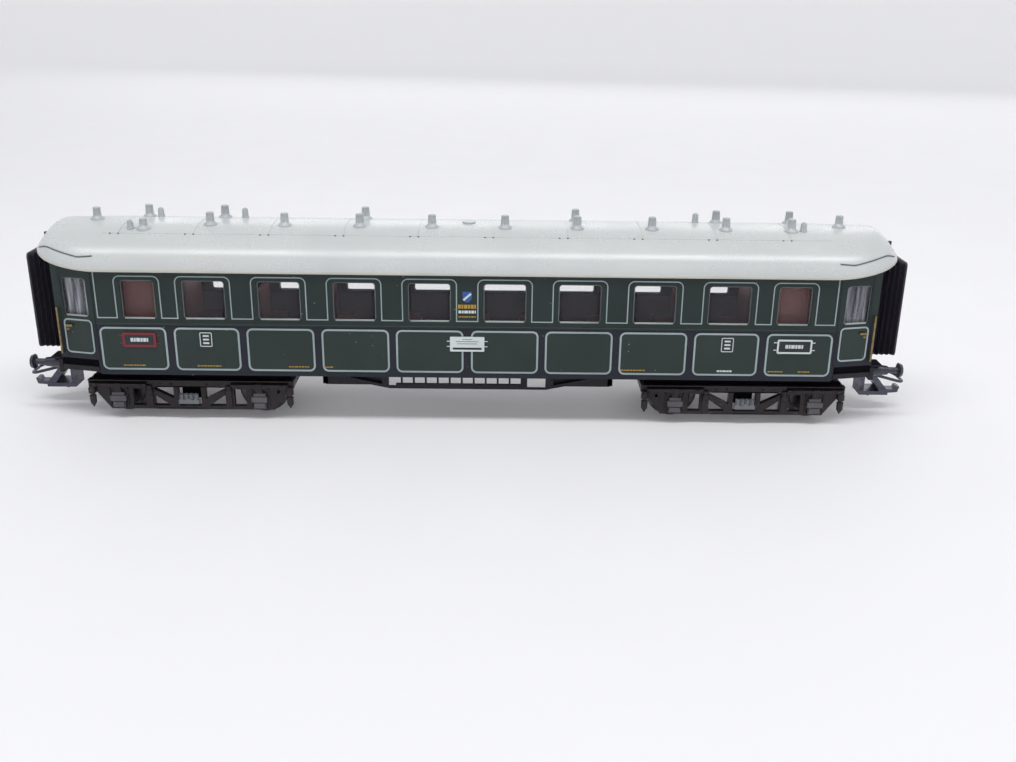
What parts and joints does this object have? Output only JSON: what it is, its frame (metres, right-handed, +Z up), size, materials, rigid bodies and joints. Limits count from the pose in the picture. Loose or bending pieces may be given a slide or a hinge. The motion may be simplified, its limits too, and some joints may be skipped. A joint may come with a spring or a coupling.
{
  "type": "model passenger coach",
  "caption": "Scale model of a long railway passenger coach on swivelling bogies, with hooked couplers, buffers, gangway bellows and a ventilated rounded roof.",
  "frame": {"origin": "on the ground under the centre of the coach, where the wheel flanges' lowest points lie", "axes": "+X along the coach to its right end seen from the near side, +Y away from the near side, +Z up"},
  "size_m": [0.2382, 0.035, 0.0536],
  "materials": {
    "body_green": "satin dark green moulding",
    "roof_grey": "satin light silver grey",
    "clear_pane": "clear moulded plastic",
    "interior_brown": "dark red-brown moulding",
    "weight_steel": "plain steel",
    "chassis_black": "satin near-black moulding",
    "bogie_black": "satin dark brown-grey moulding",
    "axlebox_grey": "worn dark grey",
    "spring_grey": "light grey highlights",
    "buffer_black": "glossy blue-black moulding",
    "bellows_black": "matt black bellows",
    "brass_trim": "gold-coloured trim",
    "wheel_steel": "darkened wheel steel",
    "coupler_metal": "blackened sheet metal"
  },
  "bodies": {
    "coach": {"body_shell": "body_green", "roof": "roof_grey", "glazing_near": "clear_pane", "glazing_far": "clear_pane", "door_panes": "clear_pane", "interior_unit": "interior_brown", "ballast_plate": "weight_steel", "end_doors": "body_green", "underframe": "chassis_black", "pivot_screws": "weight_steel", "buffer_beam_left": "chassis_black", "buffer_beam_right": "chassis_black", "buffers_left": "buffer_black", "buffers_right": "buffer_black", "bellows_left": "bellows_black", "bellows_right": "bellows_black", "step_boards": "chassis_black", "truss_near": "chassis_black", "truss_far": "chassis_black", "equipment_boxes": "chassis_black", "handrails": "brass_trim", "door_handles": "brass_trim", "roof_vents_near": "roof_grey", "roof_vents_far": "roof_grey", "roof_vents_end": "roof_grey", "roof_vents_small": "roof_grey", "roof_cap": "roof_grey", "lamp_irons": "chassis_black", "coupler_pins": "coupler_metal"},
    "bogie_left": {"bogie_frame_left": "bogie_black", "bogie_side_near_left": "bogie_black", "bogie_side_far_left": "bogie_black", "axleboxes_left": "axlebox_grey", "leaf_springs_left": "bogie_black", "coil_springs_left": "spring_grey", "brake_hangers_left": "bogie_black"},
    "wheelset_1": {"axle_1": "wheel_steel", "wheel_near_1": "wheel_steel", "wheel_far_1": "wheel_steel"},
    "wheelset_2": {"axle_2": "wheel_steel", "wheel_near_2": "wheel_steel", "wheel_far_2": "wheel_steel"},
    "coupler_left": {"coupler_head_left": "coupler_metal"},
    "coupler_bail_left": {"coupler_loop_left": "coupler_metal"},
    "bogie_right": {"bogie_frame_right": "bogie_black", "bogie_side_near_right": "bogie_black", "bogie_side_far_right": "bogie_black", "axleboxes_right": "axlebox_grey", "leaf_springs_right": "bogie_black", "coil_springs_right": "spring_grey", "brake_hangers_right": "bogie_black"},
    "wheelset_3": {"axle_3": "wheel_steel", "wheel_near_3": "wheel_steel", "wheel_far_3": "wheel_steel"},
    "wheelset_4": {"axle_4": "wheel_steel", "wheel_near_4": "wheel_steel", "wheel_far_4": "wheel_steel"},
    "coupler_right": {"coupler_head_right": "coupler_metal"},
    "coupler_bail_right": {"coupler_loop_right": "coupler_metal"}
  },
  "joints": [
    {"name": "bogie_swivel_left", "type": "hinge", "parent": "coach", "child": "bogie_left", "pos_m": [-0.0732, 0, 0.0097], "axis": [0, 0, 1], "range_deg": [-12, 12]},
    {"name": "bogie_swivel_right", "type": "hinge", "parent": "coach", "child": "bogie_right", "pos_m": [0.0732, 0, 0.0097], "axis": [0, 0, 1], "range_deg": [-12, 12]},
    {"name": "wheelset_roll_1", "type": "hinge", "parent": "bogie_left", "child": "wheelset_1", "pos_m": [-0.0917, 0, 0.0067], "axis": [0, 1, 0], "continuous": true},
    {"name": "wheelset_roll_2", "type": "hinge", "parent": "bogie_left", "child": "wheelset_2", "pos_m": [-0.0547, 0, 0.0067], "axis": [0, 1, 0], "continuous": true},
    {"name": "wheelset_roll_3", "type": "hinge", "parent": "bogie_right", "child": "wheelset_3", "pos_m": [0.0547, 0, 0.0067], "axis": [0, 1, 0], "continuous": true},
    {"name": "wheelset_roll_4", "type": "hinge", "parent": "bogie_right", "child": "wheelset_4", "pos_m": [0.0917, 0, 0.0067], "axis": [0, 1, 0], "continuous": true},
    {"name": "coupler_swing_left", "type": "hinge", "parent": "coach", "child": "coupler_left", "pos_m": [-0.1032, 0, 0.0112], "axis": [0, 0, 1], "range_deg": [-15, 15]},
    {"name": "coupler_bail_lift_left", "type": "hinge", "parent": "coupler_left", "child": "coupler_bail_left", "pos_m": [-0.1087, 0, 0.01125], "axis": [0, 1, 0], "range_deg": [0, 28]},
    {"name": "coupler_swing_right", "type": "hinge", "parent": "coach", "child": "coupler_right", "pos_m": [0.1032, 0, 0.0112], "axis": [0, 0, 1], "range_deg": [-15, 15]},
    {"name": "coupler_bail_lift_right", "type": "hinge", "parent": "coupler_right", "child": "coupler_bail_right", "pos_m": [0.1087, 0, 0.01125], "axis": [0, -1, 0], "range_deg": [0, 28]}
  ]
}
